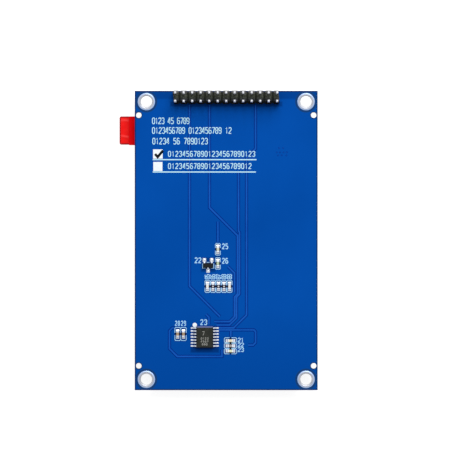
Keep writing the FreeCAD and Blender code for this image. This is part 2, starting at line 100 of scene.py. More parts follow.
def compute(tree, operation, first, second=0.0):
    """One step of arithmetic on two values."""
    step = node(tree, "Math", operation=operation)
    plug(tree, first, step.inputs[0])
    plug(tree, second, step.inputs[1])
    return step.outputs[0]


def seen_directly(tree):
    """1 for rays that show the surroundings themselves: straight, mirrored or through a clear piece."""
    path = node(tree, "LightPath")
    mirrored = compute(tree, "MAXIMUM", path.outputs["Is Glossy Ray"], path.outputs["Is Transmission Ray"])
    return compute(tree, "MAXIMUM", path.outputs["Is Camera Ray"], mirrored)


def rescale(tree, value, start, end, low=0.0, high=1.0, **settings):
    """A value carried from one range to another: low at the start, high at the end, and level beyond."""
    scaled = node(tree, "MapRange", **settings)
    for name, limit in (("From Min", start), ("From Max", end), ("To Min", low), ("To Max", high)):
        scaled.inputs[name].default_value = limit
    plug(tree, value, scaled.inputs["Value"])
    return scaled.outputs["Result"]


lamp_data = bpy.data.lights.new("soft_lamp", "AREA")
lamp_data.energy = lamp_energy
lamp_data.size = lamp_size
lamp = bpy.data.objects.new("soft_lamp", lamp_data)
lamp.location = lamp_place
lamp.rotation_euler = (-lamp_place).to_track_quat("-Z", "Y").to_euler()
bpy.context.scene.collection.objects.link(lamp)

world = bpy.data.worlds.new("sky")
world.use_nodes = True
sky = world.node_tree
sky_light = sky.nodes["Background"]
sky_light.inputs["Color"].default_value = (1, 1, 1, 1)
plug(sky, rescale(sky, seen_directly(sky), 0, 1, sky_strength, 1), sky_light.inputs["Strength"])
bpy.context.scene.world = world


# The floor. A matt white sheet just under the display face keeps a pale shadow of the module, and it
# is clear from below, so that the display side can be looked at.
floor_half = 4.0
floor_drop = 0.05 * mm
floor_albedo = 0.5
floor_glow = 0.82

floor_mesh = bpy.data.meshes.new("floor")
floor_mesh.from_pydata([(x * floor_half, y * floor_half, -floor_drop)
                        for x, y in ((-1, -1), (1, -1), (1, 1), (-1, 1))], [], [(0, 1, 2, 3)])
floor_white = bpy.data.materials.new("floor_white")
floor_white.use_nodes = True
tree = floor_white.node_tree
tree.nodes.clear()
matt = node(tree, "BsdfDiffuse")
matt.inputs["Color"].default_value = (floor_albedo, floor_albedo, floor_albedo, 1)
glow = node(tree, "Emission")
plug(tree, compute(tree, "MULTIPLY", seen_directly(tree), floor_glow), glow.inputs["Strength"])
both = node(tree, "AddShader")
tree.links.new(matt.outputs[0], both.inputs[0])
tree.links.new(glow.outputs[0], both.inputs[1])
clear = node(tree, "BsdfTransparent")
side = node(tree, "MixShader")
tree.links.new(node(tree, "NewGeometry").outputs["Backfacing"], side.inputs[0])
tree.links.new(both.outputs[0], side.inputs[1])
tree.links.new(clear.outputs[0], side.inputs[2])
tree.links.new(side.outputs[0], node(tree, "OutputMaterial").inputs["Surface"])
floor_mesh.materials.append(floor_white)
floor = bpy.data.objects.new("floor", floor_mesh)
bpy.context.scene.collection.objects.link(floor)
floor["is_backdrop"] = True


# The circuit board. Glass cloth in epoxy, routed to size, with a blue solder mask on both faces. The
# mask is silky, a little uneven in depth of colour, and the bare laminate shows on the routed edges.
mask_tones = ((0, 73, 162), (2, 80, 174))
mask_grain = 30 * mm
# Painted shade: the mask's tone at the board's lower end, and the Y where the darkening towards it starts,
# away from the lamp.
mask_lower_shade_tone = (0, 72, 160)
mask_shade_start = -20 * mm
mask_depth = 0.04 * mm
mask_relief = (0.004 * mm, 0.35 * mm)
laminate_tones = ((128, 122, 62), (158, 148, 88))
laminate_grain = 0.5 * mm
laminate_stretch = (1, 1, 0.2)
rim_width = 0.4 * mm
rim_tone = (10, 54, 112)
mounting_holes = (24.0 * mm, 41.75 * mm)
locating_holes = (26.3 * mm, 37.7 * mm)
mounting_ring = (2.55 * mm, 3.25 * mm)
locating_ring = (0.8 * mm, 1.15 * mm)
clearance_tone = (22, 64, 120)
bare_and_shade_tone = (0, 40, 104)
darkened_area_fade = 0.5 * mm
# An area's centre and half sizes in mm, and how dark it is. The mask is darker where no copper is under it;
# the first area also reaches into painted shade below the controller, the next to last is a painted shadow
# along the header's lower edge, and the last darkens the board's upper end.
bare_and_shaded_areas = [
    (-6.45, -29.65, 4.0, 3.8, 0.68),
    (-2.32, -13.8, 4.0, 1.7, 0.62),
    (-13.72, -28.1, 1.6, 1.9, 0.62),
    (1.28, -31.65, 1.7, 2.4, 0.62),
    (-5.45, -7.3, 1.9, 1.9, 0.62),
    (-2.5, -4.8, 0.6, 3.8, 0.62),
    (0.0, 41.0, 16.6, 0.45, 0.55),
    (0.0, 44.2, 27.5, 1.4, 0.38),
]


def srgb(colour):
    """A linear colour from 8-bit display values: the display curve, undone for each channel."""
    values = np.array(colour) / 255
    linear = np.where(values <= 0.04045, values / 12.92, ((values + 0.055) / 1.055) ** 2.4)
    return (*linear.tolist(), 1.0)


def axes(tree):
    """A point's X, Y and Z on the piece, in metres."""
    split = node(tree, "SeparateXYZ")
    tree.links.new(node(tree, "TexCoord").outputs["Object"], split.inputs[0])
    return split.outputs


def cloud(tree, grain, stretch=(1, 1, 1)):
    """A soft noise from 0 to 1, with patches of the given grain in metres."""
    place = node(tree, "Mapping")
    place.inputs["Scale"].default_value = [1 / (grain * part) for part in stretch]
    tree.links.new(node(tree, "TexCoord").outputs["Object"], place.inputs["Vector"])
    noise = node(tree, "TexNoise")
    noise.inputs["Scale"].default_value = 1
    noise.inputs["Detail"].default_value = 3
    tree.links.new(place.outputs[0], noise.inputs["Vector"])
    swing = 0.22
    return rescale(tree, noise.outputs["Fac"], 0.5 - swing, 0.5 + swing)


def blend(tree, share, first, second):
    """The first colour where the share is 0, and the second where it is 1."""
    mix = node(tree, "Mix", data_type="RGBA")
    plug(tree, share, mix.inputs[0])
    plug(tree, first, mix.inputs[6])
    plug(tree, second, mix.inputs[7])
    return mix.outputs[2]


def drift(tree, tones, grain, stretch=(1, 1, 1)):
    """A colour that drifts between two tones, in patches of the given grain."""
    return blend(tree, cloud(tree, grain, stretch), srgb(tones[0]), srgb(tones[1]))


def between(tree, value, low, high):
    """1 where a value lies between two limits, else 0."""
    return compute(tree, "MULTIPLY", compute(tree, "GREATER_THAN", value, low),
                   compute(tree, "LESS_THAN", value, high))


def distance(tree, value, level):
    """How far a value lies from a level, on either side of it."""
    return compute(tree, "ABSOLUTE", compute(tree, "SUBTRACT", value, level))


def from_holes(tree, holes):
    """A point's distance in plan from the nearest of four holes at plus and minus the given X and Y."""
    place = axes(tree)
    off_x = compute(tree, "SUBTRACT", compute(tree, "ABSOLUTE", place["X"]), holes[0])
    off_y = compute(tree, "SUBTRACT", compute(tree, "ABSOLUTE", place["Y"]), holes[1])
    squares = compute(tree, "ADD", compute(tree, "POWER", off_x, 2.0), compute(tree, "POWER", off_y, 2.0))
    return compute(tree, "SQRT", squares)


def roughen(tree, depth, grain):
    """A fine relief of the given depth and grain in metres, on the shader's normal."""
    relief = node(tree, "Bump")
    relief.inputs["Distance"].default_value = depth
    tree.links.new(cloud(tree, grain), relief.inputs["Height"])
    tree.links.new(relief.outputs[0], tree.nodes["Principled BSDF"].inputs["Normal"])


def finish(name, tones, grain, roughness, metallic=0.0, specular=0.4, stretch=(1, 1, 1)):
    """A finish whose colour drifts between two tones, in patches of the given grain."""
    material = bpy.data.materials.new(name)
    material.use_nodes = True
    tree = material.node_tree
    shader = tree.nodes["Principled BSDF"]
    shader.inputs["Roughness"].default_value = roughness
    shader.inputs["Metallic"].default_value = metallic
    shader.inputs["Specular IOR Level"].default_value = specular
    tree.links.new(drift(tree, tones, grain, stretch), shader.inputs["Base Color"])
    return material


def colour_of(material):
    """A finish's node tree, its shader's colour socket, and the colour that now goes into it."""
    tree = material.node_tree
    socket = tree.nodes["Principled BSDF"].inputs["Base Color"]
    return tree, socket, socket.links[0].from_socket


def dress(name, material):
    """Gives a CAD node its finish."""
    slots = nodes[name].data.materials
    slots.clear()
    slots.append(material)


board_finish = finish("blue_mask_on_laminate", mask_tones, mask_grain, 0.5, specular=0.015)
tree, base, mask_colour = colour_of(board_finish)
place = axes(tree)
# Painted shade towards the board's lower end.
in_lower_shade = rescale(tree, place["Y"], mask_shade_start, board_low.y)
mask_colour = blend(tree, in_lower_shade, mask_colour, srgb(mask_lower_shade_tone))
# The mask darkened where no copper is under it, with painted shade below the controller and a painted
# shadow along the header.
for x, y, half_x, half_y, share in bare_and_shaded_areas:
    beyond_x = compute(tree, "SUBTRACT", distance(tree, place["X"], x * mm), half_x * mm)
    beyond_y = compute(tree, "SUBTRACT", distance(tree, place["Y"], y * mm), half_y * mm)
    darkness = rescale(tree, compute(tree, "MAXIMUM", beyond_x, beyond_y), darkened_area_fade, 0, 0, share)
    mask_colour = blend(tree, darkness, mask_colour, srgb(bare_and_shade_tone))
for holes, band in ((mounting_holes, mounting_ring), (locating_holes, locating_ring)):
    on_ring = between(tree, from_holes(tree, holes), *band)
    mask_colour = blend(tree, on_ring, mask_colour, srgb(clearance_tone))
inward_x = compute(tree, "SUBTRACT", board_high.x, compute(tree, "ABSOLUTE", place["X"]))
inward_y = compute(tree, "SUBTRACT", board_high.y, compute(tree, "ABSOLUTE", place["Y"]))
on_rim = compute(tree, "LESS_THAN", compute(tree, "MINIMUM", inward_x, inward_y), rim_width)
mask_colour = blend(tree, on_rim, mask_colour, srgb(rim_tone))
laminate = drift(tree, laminate_tones, laminate_grain, laminate_stretch)
on_edge = between(tree, place["Z"], board_low.z + mask_depth, board_high.z - mask_depth)
tree.links.new(blend(tree, on_edge, mask_colour, laminate), base)
roughen(tree, *mask_relief)
dress("circuit_board", board_finish)


# The tracks. Copper under the mask, etched from the foil, so each stands up as a low ridge: the mask is
# thin and paler on its top, and pools darker along its two sides. The colour also holds painted shade on
# the sides and a painted highlight on the crown.
track_width = 1.12 * mm
track_top = 0.42 * mm
track_height = 0.03 * mm
track_sink = 0.01 * mm
track_side_tone = (0, 36, 126)
track_crown_tones = ((14, 82, 176), (26, 92, 188))
track_crown_grain = 6 * mm
track_crown_start, track_crown_end = 0.7, 0.95
via_radius = 0.25 * mm
vias = np.array([(15.9, 27.8), (17.1, 27.8), (15.2, 26.5), (16.1, 26.5), (17.25, 26.5), (18.2, 26.5),
                 (15.6, 25.6), (16.7, 25.6), (18.1, 25.6)]) * mm
# The routes, in mm. Those that start at header_edge come out from under the header.
header_edge = 40.8
track_routes = [
    [(-11.04, header_edge), (-11.04, -13.7), (-1.9, -22.85)],
    [(-5.03, header_edge), (-5.03, 9.9), (3.4, 1.5), (3.4, -16.1), (2.5, -17.0), (2.5, -22.9),
     (1.05, -24.38), (-3.6, -24.38)],
    [(3.7, 20.9), (3.7, 2.9), (4.0, 2.5), (4.0, -16.1), (3.1, -17.0), (3.1, -23.3), (0.98, -25.4),
     (-2.9, -25.4)],
    [(8.82, header_edge), (8.82, 27.6), (6.11, 24.9), (6.11, -22.4), (2.26, -26.25), (-2.3, -26.25)],
    [(-2.3, -26.87), (8.3, -26.87), (8.82, -27.4), (8.82, -30.7), (8.1, -31.45), (6.6, -31.45)],
    [(-2.5, 5.7), (-2.5, -0.4)],
    [(0.5, -7.8), (2.5, -9.8), (2.5, -15.6)],
    [(1.38, -27.2), (1.38, -28.8)],
    [(-15.6, -26.3), (-16.2, -26.3), (-17.06, -27.2), (-17.06, -32.5), (-14.7, -34.86), (-1.29, -34.86),
     (-1.29, -32.8)],
    [(-6.1, -22.2), (-5.2, -23.1), (-5.2, -25.2)],
]


def weave(rows, columns, loop_rows, loop_columns):
    """The quads of a grid of points, row by row, closed on itself in either direction if asked."""
    near_row = np.arange(rows if loop_rows else rows - 1)[:, None]
    near_column = np.arange(columns if loop_columns else columns - 1)[None, :]
    far_row = (near_row + 1) % rows
    far_column = (near_column + 1) % columns
    quads = [near_row * columns + near_column, far_row * columns + near_column,
             far_row * columns + far_column, near_row * columns + far_column]
    return np.stack(quads, axis=-1).reshape(-1, 4)


def ridge(route, profile):
    """A profile of (sideways, upwards) points carried along a flat route, with mitred corners.

    At a corner the sideways direction is the sum of the two runs' left-hand directions, divided by
    one plus their dot product, which keeps both sides parallel to the runs. The divisor is held at
    0.6 or more, so that a sharp corner isn't drawn out to a long point.
    """
    path = np.array(route, float)
    looped = np.allclose(path[0], path[-1])
    if looped:
        path = path[:-1]
    ahead = np.roll(path, -1, axis=0) - path
    if not looped:
        ahead[-1] = ahead[-2]
    ahead /= np.linalg.norm(ahead, axis=1, keepdims=True)
    left = np.stack([-ahead[:, 1], ahead[:, 0]], axis=1)
    before = np.roll(left, 1, axis=0)
    if not looped:
        before[0] = left[0]
    opening = 1 + (left * before).sum(axis=1, keepdims=True)
    sideways = (left + before) / np.maximum(opening, 0.6)
    spread, rise = np.array(profile, float).T
    flat = path[:, None, :] + sideways[:, None, :] * spread[None, :, None]
    height = np.broadcast_to(rise[None, :, None], (len(path), len(rise), 1))
    points = np.concatenate([flat, height], axis=2).reshape(-1, 3)
    faces = weave(len(path), len(rise), looped, True).tolist()
    if not looped:
        faces.append(list(range(len(rise))))
        faces.append(list(range(len(points) - 1, len(points) - 1 - len(rise), -1)))
    return points, faces


def gather(parts):
    """Several meshes of points and faces as one."""
    points, faces, start = [], [], 0
    for part_points, part_faces in parts:
        points.append(part_points)
        faces.extend(np.add(face, start).tolist() for face in part_faces)
        start += len(part_points)
    return np.concatenate(points), faces


def place_piece(name, part, material):
    """A new piece from its points and faces, on the module's one body."""
    points, faces = part
    mesh = bpy.data.meshes.new(name)
    mesh.from_pydata(points.tolist(), [], faces)
    mesh.materials.append(material)
    piece = bpy.data.objects.new(name, mesh)
    bpy.context.scene.collection.objects.link(piece)
    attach(piece, "root")
    return piece


def flat_ribbon(width, top_width, base, height):
    """A low flat-topped cross section, from its lower right corner round to its lower left."""
    return [(-width / 2, base), (-top_width / 2, base + height), (top_width / 2, base + height),
            (width / 2, base)]


def mound(centre, half_x, half_y, base, height, square=2.0, sides=20, rings=5):
    """A low heap on a rounded base: |x/a|^n + |y/b|^n = r^n in plan, and height (1 - r^3) above it."""
    turn = np.arange(sides) * 2 * np.pi / sides
    reach = np.arange(1, rings + 1)[::-1] / rings
    cos, sin = np.cos(turn), np.sin(turn)
    rim_x = np.sign(cos) * np.abs(cos) ** (2 / square) * half_x
    rim_y = np.sign(sin) * np.abs(sin) ** (2 / square) * half_y
    x = centre[0] + reach[:, None] * rim_x[None, :]
    y = centre[1] + reach[:, None] * rim_y[None, :]
    z = np.broadcast_to(base + height * (1 - reach[:, None] ** 3), x.shape)
    top = np.array([[centre[0], centre[1], base + height]])
    points = np.concatenate([np.stack([x, y, z], axis=2).reshape(-1, 3), top])
    faces = weave(rings, sides, False, True)[:, ::-1].tolist()
    inner = (rings - 1) * sides
    faces += [[inner + k, inner + (k + 1) % sides, len(points) - 1] for k in range(sides)]
    faces.append(list(range(sides - 1, -1, -1)))
    return points, faces


track_section = flat_ribbon(track_width, track_top, board_high.z - track_sink, track_height + track_sink)
ridges = [ridge(np.array(route) * mm, track_section) for route in track_routes]
dots = [mound(via, via_radius, via_radius, board_high.z, track_height) for via in vias]
track_finish = finish("blue_mask_on_copper", track_crown_tones, track_crown_grain, 0.5, specular=0.015)
tree, base, crown = colour_of(track_finish)
# Partly painted light: shade on the ridge's sides and a highlight on its crown.
on_crown = rescale(tree, axes(tree)["Z"], board_high.z + track_height * track_crown_start,
                   board_high.z + track_height * track_crown_end)
tree.links.new(blend(tree, on_crown, srgb(track_side_tone), crown), base)
place_piece("tracks_under_mask", gather(ridges + dots), track_finish)


# The mounting holes. Plated copper barrels with a ring on each face, levelled in hot tin, so the metal
# is bright and a little domed between the hole and the edge of the mask.
tin_tones = ((158, 162, 172), (190, 193, 202))
# The tone outside each radius, in mm from a hole's centre. The pale bluish bands are a painted reflection
# on the dome's outer slope, and the last band is a dark line round the ring's outer edge.
ring_bands = ((2.1, (168, 171, 184)), (2.36, (164, 186, 222)), (2.5, (178, 206, 246)),
              (2.62, (44, 88, 150)))
ring_fade = 0.1
ring_inner = 1.74 * mm
ring_outer = 2.6 * mm
ring_crown = 0.12 * mm
ring_sink = 0.01 * mm
ring_steps = 9
ring_sides = 64
platings_low, platings_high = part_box("hole_platings")


def tin_ring(x, y, face_z, sense):
    """A domed ring: radius from inner to outer, height sin(pi s) above the pad, turned all round."""
    share = np.linspace(0, 1, ring_steps)
    radius = ring_inner + (ring_outer - ring_inner) * share
    radius = np.append(radius, radius[::-1][1:-1])
    rise = np.append(ring_crown * np.sin(np.pi * share), np.full(ring_steps - 2, -ring_sink))
    turn = np.arange(ring_sides)[:, None] * 2 * np.pi / ring_sides
    height = np.broadcast_to(face_z + sense * rise, (ring_sides, len(rise)))
    points = np.stack([x + radius * np.cos(turn), y + radius * np.sin(turn), height], axis=2)
    faces = weave(ring_sides, len(rise), True, True)
    return points.reshape(-1, 3), (faces[:, ::-1] if sense > 0 else faces).tolist()


ring_finish = finish("plated_ring", tin_tones, 1.5 * mm, 0.38, metallic=0.3, specular=0.2)
tree, base, ring_colour = colour_of(ring_finish)
# Painted light on the rings: a reflection in the pale bluish bands and a dark line at the outer edge.
for radius, tone in ring_bands:
    beyond = rescale(tree, from_holes(tree, mounting_holes), (radius - ring_fade) * mm, radius * mm)
    ring_colour = blend(tree, beyond, ring_colour, srgb(tone))
tree.links.new(ring_colour, base)
dress("hole_platings", ring_finish)
rings = []
for x in (-mounting_holes[0], mounting_holes[0]):
    for y in (-mounting_holes[1], mounting_holes[1]):
        rings.append(tin_ring(x, y, platings_high.z, 1))
        rings.append(tin_ring(x, y, platings_low.z, -1))
place_piece("mounting_ring_tin", gather(rings), ring_finish)


# The pin header. A moulded black nylon strip holds two rows of square tinned pins, which are pressed
# through it and soldered on the display side.
nylon_mottle = ((118, 118, 116), (255, 255, 255))
nylon_grain = 0.42 * mm
nylon_relief = (0.012 * mm, 0.12 * mm)
# The strip's tone at shares of its depth, from the screen's side to the board's upper edge. It is painted
# light: near black along the lower side in painted shade, lighter upwards to a painted highlight near the
# upper edge, and dark on that edge.
nylon_light_and_shade_ramp = ((0.0, (0, 2, 10)), (0.19, (2, 5, 14)), (0.24, (62, 64, 74)), (0.55, (80, 84, 72)),
              (0.8, (88, 90, 84)), (0.95, (140, 140, 144)), (0.99, (32, 34, 30)))
column_pitch = 2.54 * mm
# Painted shade darkens the slots between the columns; it starts and ends at these shares of a pitch from a
# column's middle.
slot_shade_tone = (14, 18, 8)
slot_start, slot_end = 0.3, 0.46
slot_depth = 0.75
pin_tones = ((228, 230, 234), (248, 249, 252))
solder_tones = ((194, 200, 210), (232, 236, 244))
solder_relief = (0.01 * mm, 0.2 * mm)
housing_low, housing_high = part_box("header_housing")


def multiply(tree, first, second):
    """The product of two colours."""
    mix = node(tree, "Mix", data_type="RGBA", blend_type="MULTIPLY")
    mix.inputs[0].default_value = 1
    plug(tree, first, mix.inputs[6])
    plug(tree, second, mix.inputs[7])
    return mix.outputs[2]


nylon = finish("black_nylon", nylon_mottle, nylon_grain, 0.55, specular=0.04)
tree, base, mottle = colour_of(nylon)
place = axes(tree)
# Painted light on the strip: shade along its lower side and in the slots, and a highlight near its upper
# edge, over the nylon's own mottle.
ramp = node(tree, "ValToRGB")
for share, tone in nylon_light_and_shade_ramp:
    stop = ramp.color_ramp.elements.new(share)
    stop.color = srgb(tone)
ramp.color_ramp.elements.remove(ramp.color_ramp.elements[-1])
plug(tree, rescale(tree, place["Y"], housing_low.y, housing_high.y), ramp.inputs["Fac"])
shaded = multiply(tree, ramp.outputs["Color"], mottle)
column = compute(tree, "ADD", compute(tree, "DIVIDE", place["X"], column_pitch), 0.5)
from_column = distance(tree, compute(tree, "FRACT", column), 0.5)
in_slot_shade = rescale(tree, from_column, slot_start, slot_end, 0, slot_depth)
tree.links.new(blend(tree, in_slot_shade, shaded, srgb(slot_shade_tone)), base)
roughen(tree, *nylon_relief)
dress("header_housing", nylon)
pin_metal = finish("tinned_pin", pin_tones, 2 * mm, 0.3, metallic=0.3, stretch=(1, 1, 4))
dress("header_pins_outer", pin_metal)
dress("header_pins_inner", pin_metal)
solder = finish("solder", solder_tones, 0.6 * mm, 0.32, metallic=0.35)
roughen(solder.node_tree, *solder_relief)
dress("header_solder", solder)
dress("chip_solder", solder)


# The pads. Copper left open in the mask and tinned, one under each lead of the packages and one under
# each end of the chips; a low heap of solder wets each lead's foot.
pad_tones = ((186, 194, 208), (214, 220, 230))
pad_relief = (0.01 * mm, 0.4 * mm)
pad_height = 0.045 * mm
pad_slope = 0.04 * mm
controller_leads = 7
controller_lead_width = 0.42 * mm
controller_pad = (1.3 * mm, 0.44 * mm)
controller_pad_shift = 0.68 * mm
controller_heap = (0.38 * mm, 0.25 * mm)
controller_heap_height = 0.17 * mm
controller_heap_shift = 0.34 * mm
regulator_foot_inset = (0.23 * mm, 0.25 * mm)
regulator_pad = (1.04 * mm, 1.2 * mm)
regulator_pad_slope = 0.05 * mm
regulator_pad_shift = 0.2 * mm
regulator_heap = (0.48 * mm, 0.6 * mm)
regulator_heap_height = 0.2 * mm
regulator_heap_shift = 0.24 * mm
chip_pad = (0.92 * mm, 0.92 * mm)
chip_pad_shift = 0.98 * mm
resistors = ["resistor_upper", "resistor_lower"]
bank_chips = ["bank_chip_1", "bank_chip_2", "bank_chip_3", "bank_chip_4", "bank_chip_5"]
capacitors = ["capacitor_left", "capacitor_right"]
upright_chips = resistors + bank_chips + capacitors
lying_chips = ["stack_resistor_1", "stack_resistor_2", "stack_resistor_3"]
body_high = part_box("touch_controller_body")[1]
leads_low, leads_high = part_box("touch_controller_leads")
regulator_low, regulator_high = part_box("regulator_leads")


def middle(name):
    """The centre of a CAD node's box."""
    low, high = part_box(name)
    return (low + high) / 2


def block(centre, size, base, height, bevel):
    """A low rectangular block with sloping sides, laid as one straight ridge."""
    start = (centre[0] - size[0] / 2, centre[1])
    end = (centre[0] + size[0] / 2, centre[1])
    return ridge([start, end], flat_ribbon(size[1], size[1] - 2 * bevel, base, height))


lead_pitch = (leads_high.y - leads_low.y - controller_lead_width) / (controller_leads - 1)
pads, heaps = [], []
for number in range(controller_leads):
    y = leads_low.y + controller_lead_width / 2 + lead_pitch * number
    for x, sense in ((leads_low.x, 1), (leads_high.x, -1)):
        spot = (x + sense * controller_pad_shift, y)
        foot = (x + sense * controller_heap_shift, y)
        pads.append(block(spot, controller_pad, board_high.z, pad_height, pad_slope))
        heaps.append(mound(foot, *controller_heap, board_high.z, controller_heap_height, square=3.0))
inset_x, inset_y = regulator_foot_inset
for x, y, sense in ((regulator_low.x + inset_x, regulator_high.y - inset_y, 1),
                    (regulator_high.x - inset_x, regulator_high.y - inset_y, 1),
                    ((regulator_low.x + regulator_high.x) / 2, regulator_low.y + inset_y, -1)):
    spot = (x, y + sense * regulator_pad_shift)
    foot = (x, y + sense * regulator_heap_shift)
    pads.append(block(spot, regulator_pad, board_high.z, pad_height, regulator_pad_slope))
    heaps.append(mound(foot, *regulator_heap, board_high.z, regulator_heap_height, square=2.8))
for name in upright_chips + lying_chips:
    centre = middle(name)
    for shift in (-chip_pad_shift, chip_pad_shift):
        spot = (centre.x, centre.y + shift) if name in upright_chips else (centre.x + shift, centre.y)
        pads.append(block(spot, chip_pad, board_high.z, pad_height, pad_slope))
pad_finish = finish("tinned_pad", pad_tones, 1.2 * mm, 0.4, metallic=0.2, specular=0.2)
roughen(pad_finish.node_tree, *pad_relief)
place_piece("tinned_pads", gather(pads), pad_finish)
place_piece("lead_solder", gather(heaps), solder)


# The touch controller and the regulator. Moulded black epoxy bodies with formed and tinned leads; the
# controller's top carries faint grey rows of plain numbers, burnt in by laser.
regulator_tones = ((16, 18, 19), (30, 31, 32))
controller_tones = ((34, 37, 33), (50, 51, 46))
epoxy_grain = 0.8 * mm
epoxy_relief = (0.01 * mm, 0.08 * mm)
end_sheen_tone = (104, 114, 158)
end_sheen_width = 0.42 * mm
lead_tones = ((190, 198, 208), (222, 228, 238))
lead_grain = 0.5 * mm
# Painted shade darkens each controller lead near the body, within this reach of the body's middle.
lead_root_shade_tone = (34, 36, 40)
lead_root_reach = 2.56 * mm
marking_tones = ((140, 140, 136), (170, 170, 164))
marking_height = 0.52 * mm
marking_pitch = 0.62 * mm
marking_width = (0.15 * mm, 0.13 * mm)
marking_rise = 0.012 * mm
marking_sink = 0.004 * mm
# Each row's numerals and its foot in mm from the middle of the body.
marking_rows = [("0123", -0.7), ("4567", -1.58), ("890", -2.44)]
large_numeral = (-0.75 * mm, 0.5 * mm)
large_numeral_height = 1.15 * mm
# The strokes of each numeral, on a field 0.6 wide and 1 high.
numeral_strokes = {
    "0": [[(0.15, 0), (0.45, 0), (0.6, 0.18), (0.6, 0.82), (0.45, 1), (0.15, 1), (0, 0.82), (0, 0.18),
           (0.15, 0)]],
    "1": [[(0.1, 0.78), (0.32, 1), (0.32, 0)]],
    "2": [[(0, 0.82), (0.15, 1), (0.45, 1), (0.6, 0.84), (0.6, 0.62), (0, 0.08), (0, 0), (0.6, 0)]],
    "3": [[(0, 0.86), (0.15, 1), (0.45, 1), (0.6, 0.86), (0.6, 0.66), (0.45, 0.53), (0.25, 0.53)],
          [(0.4, 0.53), (0.6, 0.38), (0.6, 0.15), (0.45, 0), (0.15, 0), (0, 0.14)]],
    "4": [[(0.45, 0), (0.45, 1), (0.36, 1), (0, 0.36), (0, 0.28), (0.6, 0.28)]],
    "5": [[(0.58, 1), (0.04, 1), (0.04, 0.58), (0.42, 0.58), (0.6, 0.44), (0.6, 0.16), (0.45, 0),
           (0.12, 0), (0, 0.12)]],
    "6": [[(0.55, 0.9), (0.42, 1), (0.15, 1), (0, 0.82), (0, 0.16), (0.15, 0), (0.45, 0), (0.6, 0.16),
           (0.6, 0.4), (0.45, 0.55), (0.12, 0.55), (0.02, 0.46)]],
    "7": [[(0, 1), (0.6, 1), (0.6, 0.92), (0.22, 0)]],
    "8": [[(0.15, 0), (0.45, 0), (0.6, 0.14), (0.6, 0.4), (0.45, 0.53), (0.15, 0.53), (0, 0.4),
           (0, 0.14), (0.15, 0)],
          [(0.15, 0.53), (0, 0.64), (0, 0.87), (0.15, 1), (0.45, 1), (0.6, 0.87), (0.6, 0.64),
           (0.45, 0.53)]],
    "9": [[(0.05, 0.1), (0.18, 0), (0.45, 0), (0.6, 0.18), (0.6, 0.84), (0.45, 1), (0.15, 1), (0, 0.84),
           (0, 0.6), (0.15, 0.45), (0.48, 0.45), (0.58, 0.54)]],
}


def numerals(text, corner, height, pitch, width_share=1.0, upwards=False):
    """The strokes of a row of numerals from its lower left corner, or turned to read upwards."""
    strokes = []
    for place, sign in enumerate(text):
        for stroke in numeral_strokes.get(sign, []):
            points = np.array(stroke) * (height * width_share, height) + (place * pitch, 0)
            if upwards:
                points = np.stack([height - points[:, 1], points[:, 0]], axis=1)
            strokes.append(points + corner)
    return strokes


epoxy = finish("black_epoxy", regulator_tones, epoxy_grain, 0.55, specular=0.1)
roughen(epoxy.node_tree, *epoxy_relief)
dress("regulator_body", epoxy)
controller_epoxy = finish("controller_epoxy", controller_tones, epoxy_grain, 0.55, specular=0.1)
tree, base, moulded = colour_of(controller_epoxy)
at_end = compute(tree, "GREATER_THAN", axes(tree)["Y"], body_high.y - end_sheen_width)
tree.links.new(blend(tree, at_end, moulded, srgb(end_sheen_tone)), base)
roughen(tree, *epoxy_relief)
dress("touch_controller_body", controller_epoxy)
dress("regulator_leads", finish("tinned_lead", lead_tones, lead_grain, 0.3, metallic=0.5))
controller_metal = finish("controller_lead", lead_tones, lead_grain, 0.3, metallic=0.5)
body_x, body_y = middle("touch_controller_body")[:2]
tree, base, bright = colour_of(controller_metal)
# Painted shade on the leads' roots next to the body.
in_root_shade = compute(tree, "LESS_THAN", distance(tree, axes(tree)["X"], body_x), lead_root_reach)
tree.links.new(blend(tree, in_root_shade, bright, srgb(lead_root_shade_tone)), base)
dress("touch_controller_leads", controller_metal)
marking = finish("laser_marking", marking_tones, 0.3 * mm, 0.7, specular=0.2)
marking_section = flat_ribbon(*marking_width, body_high.z - marking_sink, marking_rise)
strokes = []
for text, foot in marking_rows:
    corner = (body_x - (len(text) - 0.4) / 2 * marking_pitch, body_y + foot * mm)
    strokes += numerals(text, corner, marking_height, marking_pitch)
corner = (body_x + large_numeral[0], body_y + large_numeral[1])
strokes += numerals("7", corner, large_numeral_height, pitch=0, width_share=0.9)
marks = gather([ridge(stroke, marking_section) for stroke in strokes])
place_piece("controller_marking", marks, marking)


# The chips. Resistors and capacitors are fired ceramic blocks with tinned metal ends, picked and
# placed by machine: cream or dark glaze on the resistors, bare tan ceramic on the capacitors.
chip_half = 0.8 * mm
chip_end = 0.3 * mm
chip_end_grain = 0.25 * mm
chip_end_metallic = 0.85
chip_mark_half = 0.21 * mm
chip_mark_tone = (214, 214, 222)
glaze_grain = 0.4 * mm
cream_glaze = ((222, 220, 214), (244, 244, 240))
dark_glaze = ((22, 24, 26), (40, 42, 44))
tan_ceramic = ((152, 128, 102), (182, 156, 128))
chip_tones = {
    "resistor_upper": ((196, 198, 176), (222, 222, 204)),
    "resistor_lower": ((150, 170, 134), (200, 214, 184)),
    "bank_chip_1": cream_glaze,
    "bank_chip_2": dark_glaze,
    "bank_chip_3": dark_glaze,
    "bank_chip_4": dark_glaze,
    "bank_chip_5": cream_glaze,
    "capacitor_left": tan_ceramic,
    "capacitor_right": tan_ceramic,
    "stack_resistor_1": ((222, 212, 178), (240, 232, 204)),
    "stack_resistor_2": ((142, 138, 140), (178, 174, 172)),
    "stack_resistor_3": ((212, 216, 178), (232, 234, 200)),
}
